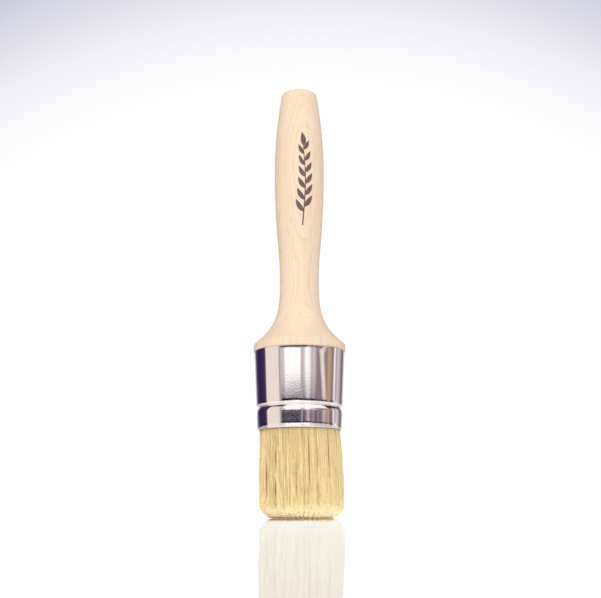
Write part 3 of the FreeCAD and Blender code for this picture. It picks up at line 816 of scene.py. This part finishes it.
def band_ramp(g, azimuth, bands):
    """A colour for each azimuth in radians, from a list of degrees and colours."""
    share = g.plus(g.math("DIVIDE", azimuth, TAU), 0.5)
    return g.ramp(share, [((degrees + 180) / 360, colour) for degrees, colour in bands])


def between(g, value, low, high, soft):
    """1 between two limits and 0 outside them, with soft edges."""
    rising = g.rescale(value, low - soft, low + soft)
    falling = g.rescale(value, high - soft, high + soft, 1.0, 0.0)
    return g.times(rising, falling)


def metal_view(g, x, y, z, azimuth, elevation):
    """The studio round the table as a reflection in bright metal shows it. Elevation is in degrees."""
    waver = g.noise(g.stretched(x, y, z, (1.0, 1.0, 4.0)), 2.2, 3.0)
    bent = g.plus(azimuth, g.times(g.minus(waver, 0.5), 0.04))
    turned = g.times(bent, 180 / math.pi)
    high = band_ramp(g, bent, HIGH_BANDS)
    low = band_ramp(g, bent, LOW_BANDS)
    stand = g.minus(turned, g.times(g.minus(STAND_MIDDLE, elevation), STAND_SLANT))
    in_stand = between(g, stand, STAND_AZIMUTH - STAND_HALF, STAND_AZIMUTH + STAND_HALF, 2.0)
    high = g.mix(in_stand, high, STAND_COLOUR)

    # Near the horizon the far side of the room is dark.
    uneven = g.noise(g.stretched(azimuth, z, 0.0, (5.0, 30.0, 1.0)), 2.0, 3.0)
    level = g.plus(elevation, g.times(g.minus(uneven, 0.5), 0.3))
    horizon = g.rescale(level, 0.1, 0.8, smooth=True)
    dark = g.times(g.minus(1.0, horizon), between(g, turned, DARK_LEFT, DARK_RIGHT, 2.0))
    low = g.mix(dark, low, FAR_SIDE)
    room = g.mix(g.rescale(level, WALL_FOOT, WALL_FULL), low, high)

    # A white ceiling stands over the front, and the sides stay dark up to the top.
    front = between(g, turned, FRONT_LEFT, FRONT_RIGHT, 5.0)
    above = g.mix(front, CEILING_DARK, CEILING_WHITE)
    panel = g.times(between(g, turned, PANEL_LEFT, FRONT_LEFT, 2.0), PANEL_RISE)
    up = g.rescale(g.minus(elevation, panel), CEILING_FOOT, CEILING_FULL, smooth=True)
    return g.mix(up, room, above)


# ---------------------------------------------------------------- the table

FLOOR_FRONT, FLOOR_BACK = -1.9, 12.0    # the table's near and far edges, metres
FLOOR_SIDE = 7.0                    # half its width
SKIM_FULL = 0.0045                  # the table mirrors almost fully where it is seen flatter than this
SKIM_TOP = 0.0065                   # and that has stopped here; both are sines of the angle to the table
SHEEN_LOW, SHEEN_HIGH = 0.3, 0.42   # strength of the fainter reflection above that
NEAR_TINT, TINT = (1.0, 0.97, 0.88), (0.8, 0.85, 0.98)
PAINTED_POOL_SIZE = 0.6                     # the table's painted light and shade in the metal is given in shares of this distance from the brush's axis, metres
# Painted light and shade on the table as the metal sees it: lightest near the brush, with a darker ring
# further out.
PAINTED_POOL = [
    (0.15, (1.0, 0.96, 0.9)), (0.24, (0.86, 0.81, 0.79)), (0.3, (0.96, 0.92, 0.9)),
    (0.42, (0.6, 0.55, 0.58)), (0.6, (0.86, 0.81, 0.8)), (1.0, (0.9, 0.85, 0.84)),
]
GLOW_START, GLOW_SIZE = 0.014, 0.14     # GLOW starts here and gives shares of the size, metres
GLOW = [
    (0.0, (0.3, 0.16, 0.05)), (0.07, (1.75, 1.66, 1.48)), (0.2, (1.3, 1.25, 1.16)),
    (0.45, (0.82, 0.81, 0.79)),
]


def table_mirror(g):
    """The clear reflection on the table, and its strength.

    It is strong where the table is seen almost flat, and faint and cooler above that.
    """
    facing = g.node("LayerWeight", {"Blend": 0.5}).outputs["Facing"]
    steep = g.minus(1.0, facing)
    skim = g.rescale(steep, SKIM_FULL, SKIM_TOP, 0.97, 0.0)
    sheen = g.rescale(steep, 0.006, 0.08, SHEEN_LOW, SHEEN_HIGH)
    fade = g.rescale(steep, 0.085, 0.13, 1.0, 0.0)
    tint = g.mix(g.rescale(steep, SKIM_FULL, 0.008), NEAR_TINT, TINT)
    shader = g.node("BsdfGlossy", {"Color": tint, "Roughness": 0.0})
    return shader, g.times(g.math("MAXIMUM", skim, sheen), fade)


def painted_table_in_metal(g, x, y, away):
    """The table's colour in the metal, painted: it dims away from the brush as painted shade, and carries the
    walls' soft bands as a painted reflection.
    """
    painted_dimming = g.ramp(g.rescale(away, 0.0, PAINTED_POOL_SIZE), PAINTED_POOL)
    azimuth = g.math("ARCTAN2", x, g.times(y, -1.0))
    painted_walls = band_ramp(g, azimuth, HIGH_BANDS)
    return g.mix(g.rescale(away, 0.09, 0.22, 0.0, 0.26), painted_dimming, painted_walls)


def make_floor():
    """A white glossy table. It mirrors clearly where it is seen at a very low angle, and faintly above."""
    side, near, far = FLOOR_SIDE, FLOOR_FRONT, FLOOR_BACK
    corners = [(-side, near, 0), (side, near, 0), (side, far, 0), (-side, far, 0)]
    mesh = bpy.data.meshes.new("table_top")
    mesh.from_pydata(corners, [], [(0, 1, 2, 3)])
    floor = show("table_top", mesh)
    material, g = new_material("white_gloss_board")
    point = g.node("TexCoord").outputs["Object"]
    x, y = g.split(point)[:2]
    away = g.length(x, y)
    rays = g.node("LightPath").outputs
    in_metal = rays["Is Glossy Ray"]

    haze = g.noise(point, 3.0, 2.0)
    plain = g.ramp(haze, [(0.3, (0.85, 0.847, 0.84)), (0.7, (0.87, 0.866, 0.86))])
    # Glossy rays see the table's painted shade and painted reflection instead of its plain white.
    matt = g.node("BsdfDiffuse", {"Color": g.mix(in_metal, plain, painted_table_in_metal(g, x, y, away))})

    # Painted light: for diffuse rays the table glows, brown under the knot as painted shadow, and brightest
    # just outside it.
    ring = g.ramp(g.rescale(away, GLOW_START, GLOW_START + GLOW_SIZE), GLOW)
    glow = g.node("Emission", {"Color": ring, "Strength": 1.0})
    lit = g.blend(rays["Is Diffuse Ray"], matt, glow)

    mirror, clear = table_mirror(g)
    soft = g.node("BsdfGlossy", {"Color": (1, 1, 1, 1), "Roughness": 0.06})
    clear = g.times(g.times(clear, rays["Is Camera Ray"]), g.minus(1.0, in_metal))
    blurred = g.times(g.rescale(away, 0.12, 0.26, 0.0, 0.4), in_metal)
    both = g.blend(g.plus(clear, blurred), lit, g.blend(in_metal, mirror, soft))
    g.finish("OutputMaterial", both)
    dress(floor, material)


# ---------------------------------------------------------------- world, light and camera

FILL_TINT = (1.0, 0.99, 0.98)
FILL, FILL_FRONT, FILL_TOP = 0.74, 0.18, 0.5    # soft light from all round, more from the front and the top
MIRRORED_WHITE = (1.25, 1.2, 1.2)   # the backdrop in the table's clear reflection
VIOLET = (0.42, 0.41, 0.6)
VIOLET_START, VIOLET_FULL = 31.0, 42.0  # degrees from the low point
LOW_POINT = (0.011, 0.9964, -0.0838)    # a direction just under the horizon behind the brush


def soft_fill(g, front, z):
    """Even light that is a little stronger from the camera's side and from above."""
    level = g.plus(FILL, g.times(g.math("MAXIMUM", front, 0.0), FILL_FRONT))
    level = g.plus(level, g.times(g.math("MAXIMUM", z, 0.0), FILL_TOP))
    return g.mix(1.0, FILL_TINT, g.vector(level, level, level), "MULTIPLY")


def white_backdrop(g, x, y, z):
    """White, turning faintly violet away from a point low behind the brush."""
    toward = g.node("VectorMath", {0: g.vector(x, y, z), 1: LOW_POINT}, operation="DOT_PRODUCT")
    angle = g.math("ARCCOSINE", g.math("MINIMUM", toward.outputs["Value"], 1.0))
    away = g.times(angle, 180 / math.pi)
    violet = g.math("POWER", g.rescale(away, VIOLET_START, VIOLET_FULL), 1.4)
    behind = g.rescale(y, 0.3, 0.55)
    return g.mix(g.times(violet, behind), (1.0, 1.0, 1.0), VIOLET)


def make_world():
    """A white studio. Diffuse light is soft and even; the plated metal sees the room's bands."""
    world = bpy.data.worlds.new("studio")
    world.use_nodes = True
    bpy.context.scene.world = world
    g = Graph(world.node_tree)
    x, y, z = g.split(g.node("TexCoord").outputs["Generated"])
    front = g.times(y, -1.0)
    azimuth = g.math("ARCTAN2", x, front)
    rise = g.math("ARCSINE", g.math("MAXIMUM", g.math("MINIMUM", z, 1.0), -1.0))
    elevation = g.times(rise, 180 / math.pi)

    rays = g.node("LightPath").outputs
    bands = metal_view(g, x, y, z, azimuth, elevation)
    colour = g.mix(rays["Is Glossy Ray"], soft_fill(g, front, z), bands)
    colour = g.mix(rays["Is Singular Ray"], colour, MIRRORED_WHITE)
    colour = g.mix(rays["Is Camera Ray"], colour, white_backdrop(g, x, y, z))
    g.finish("OutputWorld", g.node("Background", {"Color": colour, "Strength": 1.0}))


FRONT_POWER = 13.0                  # watts
FRONT_WIDTH, FRONT_HEIGHT = 1.1, 0.5    # metres
FRONT_PLACE = (-0.1, -1.5, 0.05)
FRONT_TURN = -4                     # degrees, towards the brush
FRONT_TINT = (1.0, 0.985, 0.96)


def make_front_light():
    """A wide soft light from the camera's side, low over the table. The metal doesn't show it."""
    data = bpy.data.lights.new("front_light", "AREA")
    data.shape = "RECTANGLE"
    data.size = FRONT_WIDTH
    data.size_y = FRONT_HEIGHT
    data.energy = FRONT_POWER
    data.color = FRONT_TINT
    light = bpy.data.objects.new("front_light", data)
    bpy.context.scene.collection.objects.link(light)
    light.location = FRONT_PLACE
    light.rotation_euler = (math.radians(90), 0, math.radians(FRONT_TURN))
    light.visible_glossy = False
    light.visible_camera = False


CAMERA_DISTANCE = 0.546             # from the brush's axis
CAMERA_ASIDE = 0.00066              # to the right of the axis
CAMERA_HEIGHT = 0.0014              # the lens looks up from just over the table
CAMERA_TILT = 13.13                 # degrees upwards
CAMERA_ROLL = -0.09                 # degrees
CAMERA_LENS = 55.7                  # mm
CAMERA_SENSOR = 36.0                # mm
CAMERA_NEAR = 0.002                 # nothing nearer than this is drawn; metres, like the three places above


def make_camera():
    data = bpy.data.cameras.new("camera")
    data.lens = CAMERA_LENS
    data.sensor_width = CAMERA_SENSOR
    data.clip_start = CAMERA_NEAR
    camera = bpy.data.objects.new("camera", data)
    bpy.context.scene.collection.objects.link(camera)
    camera.location = (CAMERA_ASIDE, -CAMERA_DISTANCE, CAMERA_HEIGHT)
    upward = Matrix.Rotation(math.radians(90 + CAMERA_TILT), 3, "X")
    camera.rotation_euler = (upward @ Matrix.Rotation(math.radians(CAMERA_ROLL), 3, "Z")).to_euler()
    bpy.context.scene.camera = camera


def main():
    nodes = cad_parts
    dress(nodes["handle"], beech("beech"))
    dress(nodes["filler_plug"], beech("plug_wood", (0.74, 0.55, 0.35)))
    dress(nodes["ferrule"], plated_steel("plated_steel"))
    dress(nodes["fixing_pins"], plated_steel("pin_steel", (0.78, 0.76, 0.76), 0.12))
    dress(nodes["epoxy_setting"], resin("resin"))
    make_bristles()
    make_sprig()
    make_floor()
    make_world()
    make_front_light()
    make_camera()
    bpy.context.scene.view_settings.view_transform = "Standard"


main()
